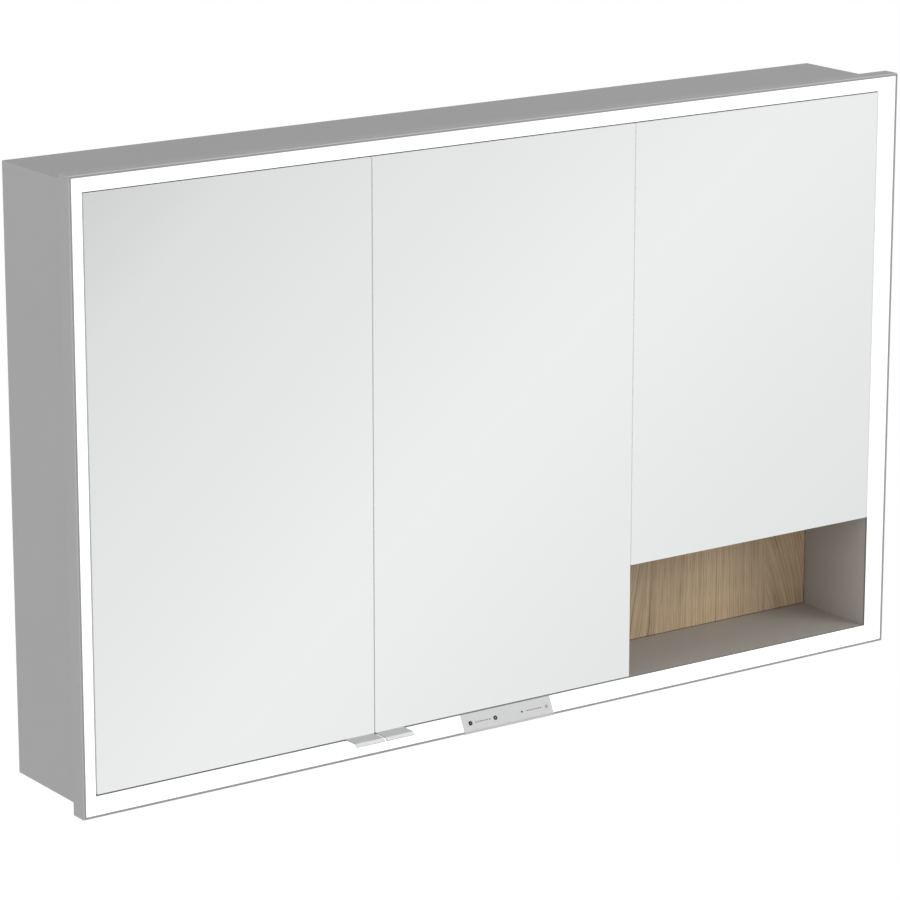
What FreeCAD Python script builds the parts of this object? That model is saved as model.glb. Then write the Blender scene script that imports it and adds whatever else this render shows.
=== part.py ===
import FreeCAD, Part
import os
import re

# Recessed mirror cabinet: a lit frame round three hinged mirror doors, with an open niche low on the right.
# All sizes are in millimetres. A place is given as u, v, z from the frame's lower left front corner:
# u to the right, v back towards the wall, z up. The cabinet's own origin is the centre of its back.

SIZES = {
    # overall
    "width": 1200,
    "height": 750,
    "depth": 168,
    # front frame
    "lip_width": 3.1,
    "lip_bevel_wide": 0.8,
    "lip_bevel_deep": 1.6,
    "lip_chamfer": 0.2,
    "frame_depth": 24,
    "flange": 2,
    "band_width": 22,
    "band_start": 1,
    "mirror_recess": 10.5,
    "seat_depth": 14,
    "channel_gap": 0.5,
    "strip_thick": 1.2,
    "key_leg": 30,
    "key_thick": 2,
    # control panel
    "panel_width": 135,
    "fascia": 2,
    "circuit_board": 1.6,
    "circuit_edge": 20,
    "touch_radius": 2.7,
    "lamp_radius": 1.2,
    "sensor_radius": 2.1,
    "touch_thick": 0.4,
    "touch_left": 55.4,
    "touch_right": 18,
    "lamp_side": 22,
    "sensor_side": 59.4,
    "touch_rise": 11.1,
    # carcass
    "board": 10,
    "back_board": 8,
    "divider": 18,
    "partition": 8,
    "partition_gap": 2.5,
    "liner": 3,
    "ceiling": 5,
    "oak_board": 8,
    "niche_clear": 147,
    "niche_void": 18.4,
    "bracket_leg": 30,
    "bracket_wide": 14,
    "bracket_thick": 2,
    "wall_hole_radius": 3.5,
    "washer_radius": 9,
    "washer_thick": 1.5,
    "wall_hole_inset": 81,
    "wall_hole_rise": 150,
    # doors
    "reveal": 2,
    "seam": 1.7,
    "seal_play": 0.3,
    "glass": 4,
    "core": 10,
    "rear_glass": 3,
    "rear_inset": 1,
    "bumper": 2,
    "bumper_play": 0.3,
    "bumper_radius": 3,
    "bumper_inset": 60,
    "handle_width": 40,
    "handle_thick": 1.2,
    "handle_reach": 21.4,
    "handle_lip": 4.6,
    "handle_angle": 45,
    "handle_inset": 0.6,
    # hinges
    "pivot_side": 26,
    "pivot_back": 8,
    "hinge_inset": 80,
    "pin_radius": 1.5,
    "running_fit": 0.05,
    "knuckle_radius": 3.2,
    "arm_half": 6,
    "side_play": 0.5,
    "cheek": 2,
    "cheek_back": 5,
    "pocket_reach": 10,
    "cup_web": 1.3,
    "leg_near": 4,
    "leg_far": 8,
    "web_half": 2,
    "arm_reach": 29,
    "arm_thick": 5,
    "base_thick": 2,
    "base_length": 26,
    "screw_front": 10,
    "screw_back": 20,
    "screw_radius": 1.9,
    "screw_head_radius": 3,
    "screw_head": 1.5,
    "screw_depth": 3.5,
    "hole_play": 0.1,
    # shelves
    "shelf_glass": 6,
    "shelf_front": 55,
    "shelf_back_gap": 2,
    "shelf_side_gap": 4,
    "shelf_low": 250,
    "shelf_high": 500,
    "shelf_right": 445,
    "peg_radius": 2.5,
    "peg_reach": 10,
    "peg_depth": 3.5,
    "peg_front": 25,
    "peg_rear": 15,
    # electrics
    "driver_length": 180,
    "driver_tall": 40,
    "driver_thick": 14,
    "driver_side": 24,
    "driver_rise": 40,
    "grommet_radius": 10,
    "grommet_flange": 3,
    "grommet_thick": 2,
    "cable_radius": 5,
    "grommet_side": 100,
    "grommet_rise": 80,
}

# Places that several pieces share, worked out from the sizes
OUTER_FACE = "(band_width - liner - board)"
INNER_FACE = "(band_width - liner)"
BACK_FACE = "(depth - back_board)"
DOOR_WIDTH = "((width - 2 * band_width - 2 * reveal - 2 * seam) / 3)"
LEFT_DOOR = "(band_width + reveal)"
CENTRE_DOOR = f"({LEFT_DOOR} + {DOOR_WIDTH} + seam)"
RIGHT_DOOR = f"({CENTRE_DOOR} + {DOOR_WIDTH} + seam)"
DOOR_BOTTOM = "(band_width + reveal)"
SHORT_DOOR_BOTTOM = "(band_width + niche_clear)"
DOOR_TOP = "(height - band_width - reveal)"
DOOR_BACK = "(mirror_recess + glass + core + rear_glass)"
DIVIDER_FRONT = f"({DOOR_BACK} + bumper)"
DIVIDER_MIDDLE = f"({CENTRE_DOOR} - seam / 2)"
DIVIDER_LEFT = f"({DIVIDER_MIDDLE} - divider / 2)"
DIVIDER_RIGHT = f"({DIVIDER_MIDDLE} + divider / 2)"
PARTITION_LEFT = f"({CENTRE_DOOR} + {DOOR_WIDTH} + partition_gap)"
PARTITION_RIGHT = f"({PARTITION_LEFT} + partition)"
CEILING_TOP = f"({SHORT_DOOR_BOTTOM} - reveal)"
NICHE_REAR = f"({BACK_FACE} - niche_void)"
FLANGE_FRONT = "(frame_depth - flange)"
PIVOT = "(mirror_recess + pivot_back)"
POCKET_HALF = "(arm_half + side_play + cheek)"

doc = FreeCAD.newDocument("mirror_cabinet")
sheet = doc.addObject("Spreadsheet::Sheet", "sizes")
for row, (alias, value) in enumerate(SIZES.items(), start=1):
    sheet.set(f"A{row}", alias)
    sheet.set(f"B{row}", str(value))
    sheet.setAlias(f"B{row}", alias)
doc.recompute()

nodes = []


def bind(part, name, formula):
    """Tie one property to the sheet: every size named in the formula becomes a cell."""
    def cell(word):
        return f"sizes.{word.group()}" if word.group() in SIZES else word.group()
    part.setExpression(name, re.sub(r"[a-z_]+", cell, formula))


def place(part, u, v, z):
    bind(part, "Placement.Base.x", f"{u} - width / 2")
    bind(part, "Placement.Base.y", f"{v} - depth")
    bind(part, "Placement.Base.z", f"{z} - height / 2")


def turn(part, axis, angle):
    part.Placement = FreeCAD.Placement(FreeCAD.Vector(), FreeCAD.Rotation(FreeCAD.Vector(*axis), angle))


def lean(part, formula):
    """Turn a piece about the u axis by an angle that follows the sizes. The first turn only sets the axis."""
    turn(part, (1, 0, 0), 90)
    bind(part, "Placement.Rotation.Angle", formula)


def keep(part, label):
    """Make a finished piece a node of its own, named by its label."""
    part.Label = label
    nodes.append(part)


def box(u, v, z):
    part = doc.addObject("Part::Box", "block")
    bind(part, "Length", f"({u[1]}) - ({u[0]})")
    bind(part, "Width", f"({v[1]}) - ({v[0]})")
    bind(part, "Height", f"({z[1]}) - ({z[0]})")
    place(part, u[0], v[0], z[0])
    return part


def rod(along, u, v, z, radius, length):
    """A cylinder that starts at u, v, z and runs in the direction of u, v or z."""
    part = doc.addObject("Part::Cylinder", "rod")
    if along == "u":
        turn(part, (0, 1, 0), 90)
    if along == "v":
        turn(part, (1, 0, 0), -90)
    bind(part, "Radius", radius)
    bind(part, "Height", length)
    place(part, u, v, z)
    return part


def fuse(parts):
    part = doc.addObject("Part::MultiFuse", "joined")
    part.Shapes = parts
    part.Refine = True
    return part


def group(parts):
    part = doc.addObject("Part::Compound", "group")
    part.Links = parts
    return part


def cut(base, tools):
    part = doc.addObject("Part::Cut", "cut_piece")
    part.Base = base
    part.Tool = tools[0] if len(tools) == 1 else group(tools)
    return part


# A frame length runs along one side. Its section is given from the outer edge inwards, with mitred ends.
SIDE_TURNS = {"bottom": 0, "left": 90, "top": 180, "right": -90}
SIDE_MIDDLES = {
    "bottom": ("width / 2", "0"),
    "left": ("0", "height / 2"),
    "top": ("width / 2", "height"),
    "right": ("width", "height / 2"),
}


def half_length(side):
    return "width / 2" if side in ("bottom", "top") else "height / 2"


def frame_length(side, near, far, start=None, end=None):
    """One bar between two edges of its section: each edge is (distance from the outside, front, back)."""
    part = doc.addObject("Part::Wedge", "bar")
    half = half_length(side)
    for (edge, front, back), second in ((near, ""), (far, "2")):
        bind(part, f"Z{second}min", f"-({back})")
        bind(part, f"Z{second}max", f"-({front})")
        bind(part, f"X{second}min", start or f"-({half}) + ({edge})")
        bind(part, f"X{second}max", end or f"({half}) - ({edge})")
    bind(part, "Ymin", near[0])
    bind(part, "Ymax", far[0])
    upright = FreeCAD.Rotation(FreeCAD.Vector(1, 0, 0), 90)
    round_frame = FreeCAD.Rotation(FreeCAD.Vector(0, 1, 0), SIDE_TURNS[side])
    part.Placement = FreeCAD.Placement(FreeCAD.Vector(), round_frame.multiply(upright))
    middle_u, middle_z = SIDE_MIDDLES[side]
    place(part, middle_u, "0", middle_z)
    return part


# Front frame: a thin lip with a steep outer bevel, and a flange that covers the cut edge of the wall
LIP_SECTION = [
    (("0", "lip_bevel_deep", "frame_depth"), ("lip_bevel_wide", "0", "frame_depth")),
    (("lip_bevel_wide", "0", "frame_depth"), ("lip_width - lip_chamfer", "0", "frame_depth")),
    (("lip_width - lip_chamfer", "0", "frame_depth"), ("lip_width", "lip_chamfer", "frame_depth")),
    (("lip_width", FLANGE_FRONT, "frame_depth"), (OUTER_FACE, FLANGE_FRONT, "frame_depth")),
]
PANEL_START = "-panel_width / 2"
PANEL_END = "panel_width / 2"


def slope_at(distance):
    """How far back the slope from the frame's edge to the mirror is, at a distance from the edge."""
    return f"({distance}) * mirror_recess / band_width"


def control_layer(front, back, near="0", far="band_width"):
    """A layer of the control panel, which lies on the slope."""
    def edge(distance):
        layer_back = back if back == "seat_depth" else f"{slope_at(distance)} + {back}"
        return (distance, f"{slope_at(distance)} + {front}", layer_back)
    return frame_length("bottom", edge(near), edge(far), PANEL_START, PANEL_END)


def control_cover():
    """The fascia's shape: a layer on the slope, with a toe in place of the lip below it."""
    toe_top = "(lip_width - lip_chamfer)"
    toe = [frame_length("bottom", (low, low_front, f"{slope_at(low)} + fascia"),
                        (high, high_front, f"{slope_at(high)} + fascia"), PANEL_START, PANEL_END)
           for low, low_front, high, high_front in (
               ("0", "0", toe_top, "0"),
               (toe_top, "0", "lip_width", "lip_chamfer"))]
    return fuse([control_layer("0", "fascia"), *toe])


for side in SIDE_TURNS:
    profile = fuse([frame_length(side, near, far) for near, far in LIP_SECTION])
    if side == "bottom":
        profile = cut(profile, [control_cover()])
    keep(profile, f"frame_{side}_profile")

# Opal light guide: a solid wedge that slopes from the lip down to the mirror and lies on the carcass edges
GUIDE_NEAR = ("lip_width", "band_start", "seat_depth")
GUIDE_FAR = ("band_width", "mirror_recess", "seat_depth")
for side in ("top", "left", "right"):
    keep(frame_length(side, GUIDE_NEAR, GUIDE_FAR), f"light_guide_{side}")
keep(frame_length("bottom", GUIDE_NEAR, GUIDE_FAR, end=PANEL_START), "light_guide_bottom_left")
keep(frame_length("bottom", GUIDE_NEAR, GUIDE_FAR, start=PANEL_END), "light_guide_bottom_right")

# LED strips and corner keys lie on the flange, in the channel between the lip and the carcass
CHANNEL_NEAR = "lip_width + channel_gap"
CHANNEL_FAR = f"{OUTER_FACE} - channel_gap"
strips = []
for side in SIDE_TURNS:
    reach = f"({half_length(side)}) - ({CHANNEL_NEAR}) - key_leg - channel_gap"
    section = (f"{FLANGE_FRONT} - strip_thick", FLANGE_FRONT)
    strips.append(frame_length(side, (CHANNEL_NEAR, *section), (CHANNEL_FAR, *section), f"-({reach})", reach))
keep(group(strips), "led_strips")


def from_either_end(span, length, far_end):
    """A span measured from one end of a length, or the same span measured from its other end."""
    return (f"{length} - ({span[1]})", f"{length} - ({span[0]})") if far_end else span


def corner_angle(right, top, near, thick, leg, v):
    """An L of two legs in one corner of the cabinet, each a band from near to near + thick."""
    thin = (near, f"{near} + {thick}")
    long = (near, f"{near} + {leg}")
    flat = box(from_either_end(long, "width", right), v, from_either_end(thin, "height", top))
    upright = box(from_either_end(thin, "width", right), v, from_either_end(long, "height", top))
    return fuse([flat, upright])


CORNERS = [(right, top) for right in (False, True) for top in (False, True)]
key_band = f"({OUTER_FACE} - lip_width - 2 * channel_gap)"
key_place = (f"{FLANGE_FRONT} - key_thick", FLANGE_FRONT)
keep(group([corner_angle(*corner, CHANNEL_NEAR, key_band, "key_leg", key_place) for corner in CORNERS]),
     "frame_corner_keys")

# Control panel: fascia on the slope, circuit board under it, housing on the carcass edge
keep(control_cover(), "control_fascia")
BOARD_BACK = "(fascia + circuit_board)"
keep(control_layer("fascia", BOARD_BACK, "lip_width", "circuit_edge"), "control_circuit_board")
keep(control_layer(BOARD_BACK, "seat_depth", "lip_width", "circuit_edge"), "control_housing")


def touch_disc(side_step, radius):
    """A thin round mark that lies on the sloped fascia."""
    part = doc.addObject("Part::Cylinder", "disc")
    lean(part, "atan(band_width / mirror_recess)")
    bind(part, "Radius", radius)
    bind(part, "Height", "touch_thick")
    place(part, f"width / 2 + {side_step}", "touch_rise * mirror_recess / band_width", "touch_rise")
    return part


keep(group([
    touch_disc("-touch_left", "touch_radius"),
    touch_disc("-touch_right", "touch_radius"),
    touch_disc("lamp_side", "lamp_radius"),
    touch_disc("sensor_side", "sensor_radius"),
]), "touch_keys")

# Shelves stand on pegs in the boards beside them. Every hole is kept for the board that it is drilled in.
drilled = {"left_side_panel": [], "middle_divider": [], "right_partition": [], "right_side_panel": []}
COMPARTMENTS = {
    "left": (("left_side_panel", INNER_FACE), ("middle_divider", DIVIDER_LEFT)),
    "centre": (("middle_divider", DIVIDER_RIGHT), ("right_partition", PARTITION_LEFT)),
    "right": (("right_partition", PARTITION_RIGHT), ("right_side_panel", f"(width - {INNER_FACE})")),
}
SHELVES = {
    "left_lower_shelf": ("left", "shelf_low"),
    "left_upper_shelf": ("left", "shelf_high"),
    "centre_lower_shelf": ("centre", "shelf_low"),
    "centre_upper_shelf": ("centre", "shelf_high"),
    "right_shelf": ("right", "shelf_right"),
}
pegs = []
for label, (compartment, rise) in SHELVES.items():
    (left_board, left_face), (right_board, right_face) = COMPARTMENTS[compartment]
    keep(box((f"{left_face} + shelf_side_gap", f"{right_face} - shelf_side_gap"),
             ("shelf_front", f"{BACK_FACE} - shelf_back_gap"),
             (rise, f"{rise} + shelf_glass")), label)
    for v in ("shelf_front + peg_front", f"{BACK_FACE} - peg_rear"):
        z = f"{rise} - peg_radius"
        pegs.append(rod("u", f"{left_face} - peg_depth", v, z, "peg_radius", "peg_depth + peg_reach"))
        pegs.append(rod("u", f"{right_face} - peg_reach", v, z, "peg_radius", "peg_depth + peg_reach"))
        hole = ("peg_radius + hole_play", "peg_depth + hole_play")
        drilled[left_board].append(rod("u", f"{left_face} - peg_depth", v, z, *hole))
        drilled[right_board].append(rod("u", f"{right_face} - hole_play", v, z, *hole))
keep(group(pegs), "shelf_pegs")


# A door is a front mirror, a core and a rear mirror. It turns on pins that lie inside its thickness, and
# each pin is held by a cup in a pocket of the core and by a cranked arm that is screwed to a board.
def door(name, left, bottom, hinged_left, rises, board, board_gap):
    right = f"({left} + {DOOR_WIDTH})"
    axis = f"({left} + pivot_side)" if hinged_left else f"({right} - pivot_side)"
    glass_back = "(mirror_recess + glass)"
    core_back = "(mirror_recess + glass + core)"
    core_span = (glass_back, core_back)

    def across(near, far):
        """A span measured from the pivot towards the door's free edge."""
        if hinged_left:
            return (f"{axis} + ({near})", f"{axis} + ({far})")
        return (f"{axis} - ({far})", f"{axis} - ({near})")

    def rod_across(near, far, v, z, radius):
        return rod("u", across(near, far)[0], v, z, radius, f"({far}) - ({near})")

    def pocket(rise):
        return box(across("-pivot_side - reveal", "pocket_reach"), (glass_back, f"{DOOR_BACK} + reveal"),
                   (f"{rise} - {POCKET_HALF}", f"{rise} + {POCKET_HALF}"))

    keep(box((left, right), ("mirror_recess", glass_back), (bottom, DOOR_TOP)), f"{name}_door_mirror")
    core = box((left, right), core_span, (bottom, DOOR_TOP))
    keep(cut(core, [pocket(rise) for rise in rises]), f"{name}_door_core")
    rear = box((f"{left} + rear_inset", f"{right} - rear_inset"), (core_back, DOOR_BACK),
               (f"{bottom} + rear_inset", f"{DOOR_TOP} - rear_inset"))
    keep(cut(rear, [pocket(rise) for rise in rises]), f"{name}_door_rear_mirror")

    cups = []
    pins = []
    arms = []
    reach = f"(pivot_side + {board_gap})"
    web_front = f"({PIVOT} - web_half)"
    arm_front = f"({PIVOT} + arm_reach)"
    arm_back = f"({arm_front} + arm_thick)"
    base_span = across(f"-{reach}", f"-{reach} + base_thick")
    for rise in rises:
        pocket_low = f"({rise} - {POCKET_HALF})"
        pocket_high = f"({rise} + {POCKET_HALF})"
        arm_tall = (f"{rise} - arm_half", f"{rise} + arm_half")
        cheek_place = (across("-cheek_back", "pocket_reach"), core_span)
        cup = fuse([
            box(across("pocket_reach - cup_web", "pocket_reach"), core_span, (pocket_low, pocket_high)),
            box(*cheek_place, (pocket_low, f"{pocket_low} + cheek")),
            box(*cheek_place, (f"{pocket_high} - cheek", pocket_high)),
        ])
        pin = (axis, PIVOT, pocket_low)
        cups.append(cut(cup, [rod("z", *pin, "pin_radius", f"2 * {POCKET_HALF}")]))
        pins.append(rod("z", *pin, "pin_radius", f"2 * {POCKET_HALF}"))

        knuckle = (axis, PIVOT, arm_tall[0])
        arm = fuse([
            rod("z", *knuckle, "knuckle_radius", "2 * arm_half"),
            box(across("0", "leg_far"), (web_front, f"{PIVOT} + web_half"), arm_tall),
            box(across("leg_near", "leg_far"), (web_front, arm_back), arm_tall),
            box(across(f"-{reach}", "leg_far"), (arm_front, arm_back), arm_tall),
            box(base_span, (arm_front, f"{arm_front} + base_length"), arm_tall),
        ])
        holes = [rod("z", *knuckle, "pin_radius + running_fit", "2 * arm_half")]
        for step in ("screw_front", "screw_back"):
            v = f"{arm_front} + {step}"
            hole_radius = "screw_radius + hole_play"
            holes.append(rod_across(f"-{reach}", f"-{reach} + base_thick", v, rise, hole_radius))
            drilled[board].append(rod_across(f"-{reach} - screw_depth", f"-{reach}", v, rise, hole_radius))
            screws.append(fuse([
                rod_across(f"-{reach} - screw_depth", f"-{reach} + base_thick", v, rise, "screw_radius"),
                rod_across(f"-{reach} + base_thick", f"-{reach} + base_thick + screw_head", v, rise,
                           "screw_head_radius"),
            ]))
        arms.append(cut(arm, holes))
    keep(group(cups), f"{name}_door_hinge_cups")
    keep(group(pins), f"{name}_door_hinge_pins")
    keep(group(arms), f"{name}_hinge_arms")


def handle(name, left):
    """A folded tab under the door: a flat plate that comes out below the mirror and ends in a sloping lip."""
    u = (left, f"{left} + handle_width")
    plate = box(u, ("mirror_recess - handle_reach", "mirror_recess + glass + core"),
                (f"{DOOR_BOTTOM} - handle_thick", DOOR_BOTTOM))
    lip = doc.addObject("Part::Box", "lip")
    bind(lip, "Length", "handle_width")
    bind(lip, "Width", "handle_lip")
    bind(lip, "Height", "handle_thick")
    lean(lip, "handle_angle * 1 deg")
    cosine = "cos(handle_angle * 1 deg)"
    sine = "sin(handle_angle * 1 deg)"
    place(lip, left, f"mirror_recess - handle_reach - handle_lip * {cosine} + handle_thick * {sine}",
          f"{DOOR_BOTTOM} - handle_lip * {sine} - handle_thick * {cosine}")
    keep(fuse([plate, lip]), f"{name}_door_handle")


screws = []
tall_rises = [
    f"({DOOR_BOTTOM} + hinge_inset)",
    f"(({DOOR_BOTTOM} + {DOOR_TOP}) / 2)",
    f"({DOOR_TOP} - hinge_inset)",
]
short_rises = [f"({SHORT_DOOR_BOTTOM} + hinge_inset)", f"({DOOR_TOP} - hinge_inset)"]
side_gap = "(reveal + liner)"
door("left", LEFT_DOOR, DOOR_BOTTOM, True, tall_rises, "left_side_panel", side_gap)
door("centre", CENTRE_DOOR, DOOR_BOTTOM, False, tall_rises, "right_partition", "partition_gap")
door("right", RIGHT_DOOR, SHORT_DOOR_BOTTOM, False, short_rises, "right_side_panel", side_gap)
handle("left", f"({LEFT_DOOR} + {DOOR_WIDTH} - handle_inset - handle_width)")
handle("centre", f"({CENTRE_DOOR} + handle_inset)")
keep(group(screws), "hinge_screws")

# Door seal: a flat rubber strip on the frame's inner edge, in the gap under the two tall doors
SEAL_TOP = f"({DOOR_BOTTOM} - handle_thick - seal_play)"
seal_length = ("band_width", f"{CENTRE_DOOR} + {DOOR_WIDTH}")
keep(box(seal_length, ("mirror_recess", "seat_depth"), ("band_width", SEAL_TOP)), "door_seal")

# Soft bumpers on the front edges of the divider and the partition stop the closed doors
bumpers = []
bumper_tall = "(bumper - bumper_play)"
for u, bottom in (
    (f"({DIVIDER_LEFT} + {LEFT_DOOR} + {DOOR_WIDTH}) / 2", DOOR_BOTTOM),
    (f"({CENTRE_DOOR} + {DIVIDER_RIGHT}) / 2", DOOR_BOTTOM),
    (f"{PARTITION_LEFT} + partition / 2", SHORT_DOOR_BOTTOM),
):
    for z in (f"{bottom} + bumper_inset", f"{DOOR_TOP} - bumper_inset"):
        bumpers.append(rod("v", u, f"{DIVIDER_FRONT} - {bumper_tall}", z, "bumper_radius", bumper_tall))
keep(group(bumpers), "door_bumpers")

# Carcass: four outer boards, a back with wall holes and a cable hole, a divider and a partition
full_depth = ("seat_depth", "depth")
left_span = (OUTER_FACE, INNER_FACE)
full_height = (OUTER_FACE, f"height - {OUTER_FACE}")
inside_width = (INNER_FACE, f"width - {INNER_FACE}")
inside_height = (INNER_FACE, f"height - {INNER_FACE}")
divider_depth = (DIVIDER_FRONT, BACK_FACE)
left_side = box(left_span, full_depth, full_height)
right_side = box(from_either_end(left_span, "width", True), full_depth, full_height)
middle = box((DIVIDER_LEFT, DIVIDER_RIGHT), divider_depth, inside_height)
partition = box((PARTITION_LEFT, PARTITION_RIGHT), divider_depth, ("band_width", f"height - {INNER_FACE}"))
keep(cut(left_side, drilled["left_side_panel"]), "left_side_panel")
keep(cut(right_side, drilled["right_side_panel"]), "right_side_panel")
keep(box(inside_width, full_depth, left_span), "bottom_panel")
keep(box(inside_width, full_depth, from_either_end(left_span, "height", True)), "top_panel")
keep(cut(middle, drilled["middle_divider"]), "middle_divider")
keep(cut(partition, drilled["right_partition"]), "right_partition")

grommet_place = (f"(width - {INNER_FACE} - grommet_side)", BACK_FACE, f"({INNER_FACE} + grommet_rise)")
back_holes = [rod("v", *grommet_place, "grommet_radius + hole_play", "back_board")]
wall_hole_side = f"{INNER_FACE} + wall_hole_inset"
washer_front = f"{BACK_FACE} - washer_thick"
washers = []
for u in (wall_hole_side, f"width - ({wall_hole_side})"):
    for z in ("height / 2 - wall_hole_rise", "height / 2 + wall_hole_rise"):
        back_holes.append(rod("v", u, BACK_FACE, z, "wall_hole_radius", "back_board"))
        disc = rod("v", u, washer_front, z, "washer_radius", "washer_thick")
        washers.append(cut(disc, [rod("v", u, washer_front, z, "wall_hole_radius", "washer_thick")]))
keep(cut(box(inside_width, (BACK_FACE, "depth"), inside_height), back_holes), "back_panel")
keep(group(washers), "wall_washers")

bracket_place = (f"{BACK_FACE} - bracket_wide", BACK_FACE)
keep(group([corner_angle(*corner, INNER_FACE, "bracket_thick", "bracket_leg", bracket_place)
            for corner in CORNERS]), "corner_brackets")

# Niche: taupe liners on three sides, a thin ceiling under the short door, and an oak back
niche_inside = (f"{PARTITION_RIGHT} + liner", "width - band_width")
ceiling_low = f"({CEILING_TOP} - ceiling)"
liner_depth = ("seat_depth", NICHE_REAR)
niche_tall = ("band_width", ceiling_low)
floor_liner = box((PARTITION_LEFT, f"width - {INNER_FACE}"), liner_depth, (INNER_FACE, "band_width"))
right_liner = box(("width - band_width", f"width - {INNER_FACE}"), liner_depth, ("band_width", CEILING_TOP))
keep(floor_liner, "niche_floor_liner")
keep(right_liner, "niche_right_liner")
keep(box((PARTITION_RIGHT, niche_inside[0]), (DIVIDER_FRONT, NICHE_REAR), niche_tall), "niche_left_liner")
keep(box((PARTITION_RIGHT, "width - band_width"), divider_depth, (ceiling_low, CEILING_TOP)), "niche_ceiling")
keep(box(niche_inside, (f"{NICHE_REAR} - oak_board", NICHE_REAR), niche_tall), "niche_back_panel")

# Electrics behind the niche: the driver on the back panel, and a grommet where the mains lead comes in
driver_left = f"({PARTITION_RIGHT} + driver_side)"
driver_low = f"({INNER_FACE} + driver_rise)"
keep(box((driver_left, f"{driver_left} + driver_length"), (f"{BACK_FACE} - driver_thick", BACK_FACE),
         (driver_low, f"{driver_low} + driver_tall")), "led_driver")
grommet_front = (grommet_place[0], f"{BACK_FACE} - grommet_thick", grommet_place[2])
grommet_long = "(grommet_thick + back_board)"
grommet = fuse([
    rod("v", *grommet_front, "grommet_radius", grommet_long),
    rod("v", *grommet_front, "grommet_radius + grommet_flange", "grommet_thick"),
])
keep(cut(grommet, [rod("v", *grommet_front, "cable_radius", grommet_long)]), "cable_grommet")

doc.recompute()
failed = [part.Label for part in doc.Objects if "Invalid" in part.State or "Error" in part.State]
if failed:
    raise RuntimeError(f"not built: {failed}")
broken = [part.Label for part in nodes if part.Shape.isNull() or not part.Shape.isValid()]
if broken:
    raise RuntimeError(f"not valid: {broken}")

os.makedirs("parts", exist_ok=True)
for part in nodes:
    part.Shape.exportStep(f"parts/{part.Label}.step")
    print(part.Label, len(part.Shape.Solids), round(part.Shape.Volume))
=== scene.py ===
import math

import bmesh
import bpy
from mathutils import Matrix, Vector


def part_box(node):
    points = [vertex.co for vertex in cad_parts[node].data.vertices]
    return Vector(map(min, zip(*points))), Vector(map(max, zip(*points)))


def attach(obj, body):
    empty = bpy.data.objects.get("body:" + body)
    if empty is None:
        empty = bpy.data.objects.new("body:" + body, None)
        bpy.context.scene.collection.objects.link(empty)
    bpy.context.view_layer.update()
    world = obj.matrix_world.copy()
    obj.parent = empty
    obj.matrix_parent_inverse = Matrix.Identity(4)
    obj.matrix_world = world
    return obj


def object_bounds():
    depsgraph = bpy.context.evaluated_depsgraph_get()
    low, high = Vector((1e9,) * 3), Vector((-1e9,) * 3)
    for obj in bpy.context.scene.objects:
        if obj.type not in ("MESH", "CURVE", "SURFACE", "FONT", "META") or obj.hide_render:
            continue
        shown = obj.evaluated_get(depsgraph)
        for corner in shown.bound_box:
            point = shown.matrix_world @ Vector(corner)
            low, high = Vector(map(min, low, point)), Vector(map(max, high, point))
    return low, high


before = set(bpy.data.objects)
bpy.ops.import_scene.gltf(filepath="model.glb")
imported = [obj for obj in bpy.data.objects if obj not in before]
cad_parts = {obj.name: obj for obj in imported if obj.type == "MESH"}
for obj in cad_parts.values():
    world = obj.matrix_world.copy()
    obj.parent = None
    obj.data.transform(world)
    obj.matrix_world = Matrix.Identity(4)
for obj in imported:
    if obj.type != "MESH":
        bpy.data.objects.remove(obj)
cad_low, cad_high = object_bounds()
bpy.context.scene.view_settings.view_transform = "Standard"


# Carcass boards: the box that goes into the wall, with its back, a divider and a partition.
# They are fibreboard in a smooth grey lacquer, butted at the corners and held by brackets inside.
def add(tree, kind, inputs=(), **options):
    """Add a node. Each input is a plain value, or the socket that feeds it."""
    node = tree.nodes.new(kind)
    for option, value in options.items():
        setattr(node, option, value)
    for label, value in dict(inputs).items():
        if isinstance(value, bpy.types.NodeSocket):
            tree.links.new(value, node.inputs[label])
        else:
            node.inputs[label].default_value = value
    return node


def math_node(tree, operation, *values):
    return add(tree, "ShaderNodeMath", enumerate(values), operation=operation).outputs[0]


def scaled(tree, colour, factor):
    """A colour times a number."""
    node = add(tree, "ShaderNodeVectorMath", {0: colour, "Scale": factor}, operation="SCALE")
    return node.outputs["Vector"]


def part_place(tree):
    """The place on the part, in metres."""
    return add(tree, "ShaderNodeTexCoord").outputs["Object"]


def noise(tree, vector, **settings):
    return add(tree, "ShaderNodeTexNoise", {"Vector": vector, **settings}).outputs["Fac"]


def varied(tree, factor, amount):
    """1, more or less the amount, as the factor goes from 0 to 1."""
    span = math_node(tree, "MULTIPLY", amount, 2.0)
    return math_node(tree, "MULTIPLY_ADD", math_node(tree, "SUBTRACT", factor, 0.5), span, 1.0)


def shared_effect(name, inputs, outputs):
    """A node group. Inputs are {name: (socket type, value)} and outputs are {name: socket type}."""
    tree = bpy.data.node_groups.new(name, "ShaderNodeTree")
    for label, (kind, value) in inputs.items():
        socket = tree.interface.new_socket(label, in_out="INPUT", socket_type=kind)
        socket.default_value = value
    for label, kind in outputs.items():
        tree.interface.new_socket(label, in_out="OUTPUT", socket_type=kind)
    given = tree.nodes.new("NodeGroupInput").outputs
    made = tree.nodes.new("NodeGroupOutput").inputs
    return tree, given, made


def use_effect(tree, effect, **values):
    group = add(tree, "ShaderNodeGroup", node_tree=effect)
    for label, value in values.items():
        group.inputs[label].default_value = value
    return group.outputs


def new_finish(name, **values):
    """A material with one Principled shader. Plain values are set on the shader's own sockets."""
    material = bpy.data.materials.new(name)
    material.use_nodes = True
    shader = material.node_tree.nodes["Principled BSDF"]
    for label, value in values.items():
        shader.inputs[label.replace("_", " ")].default_value = value
    return material, material.node_tree, shader


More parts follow.
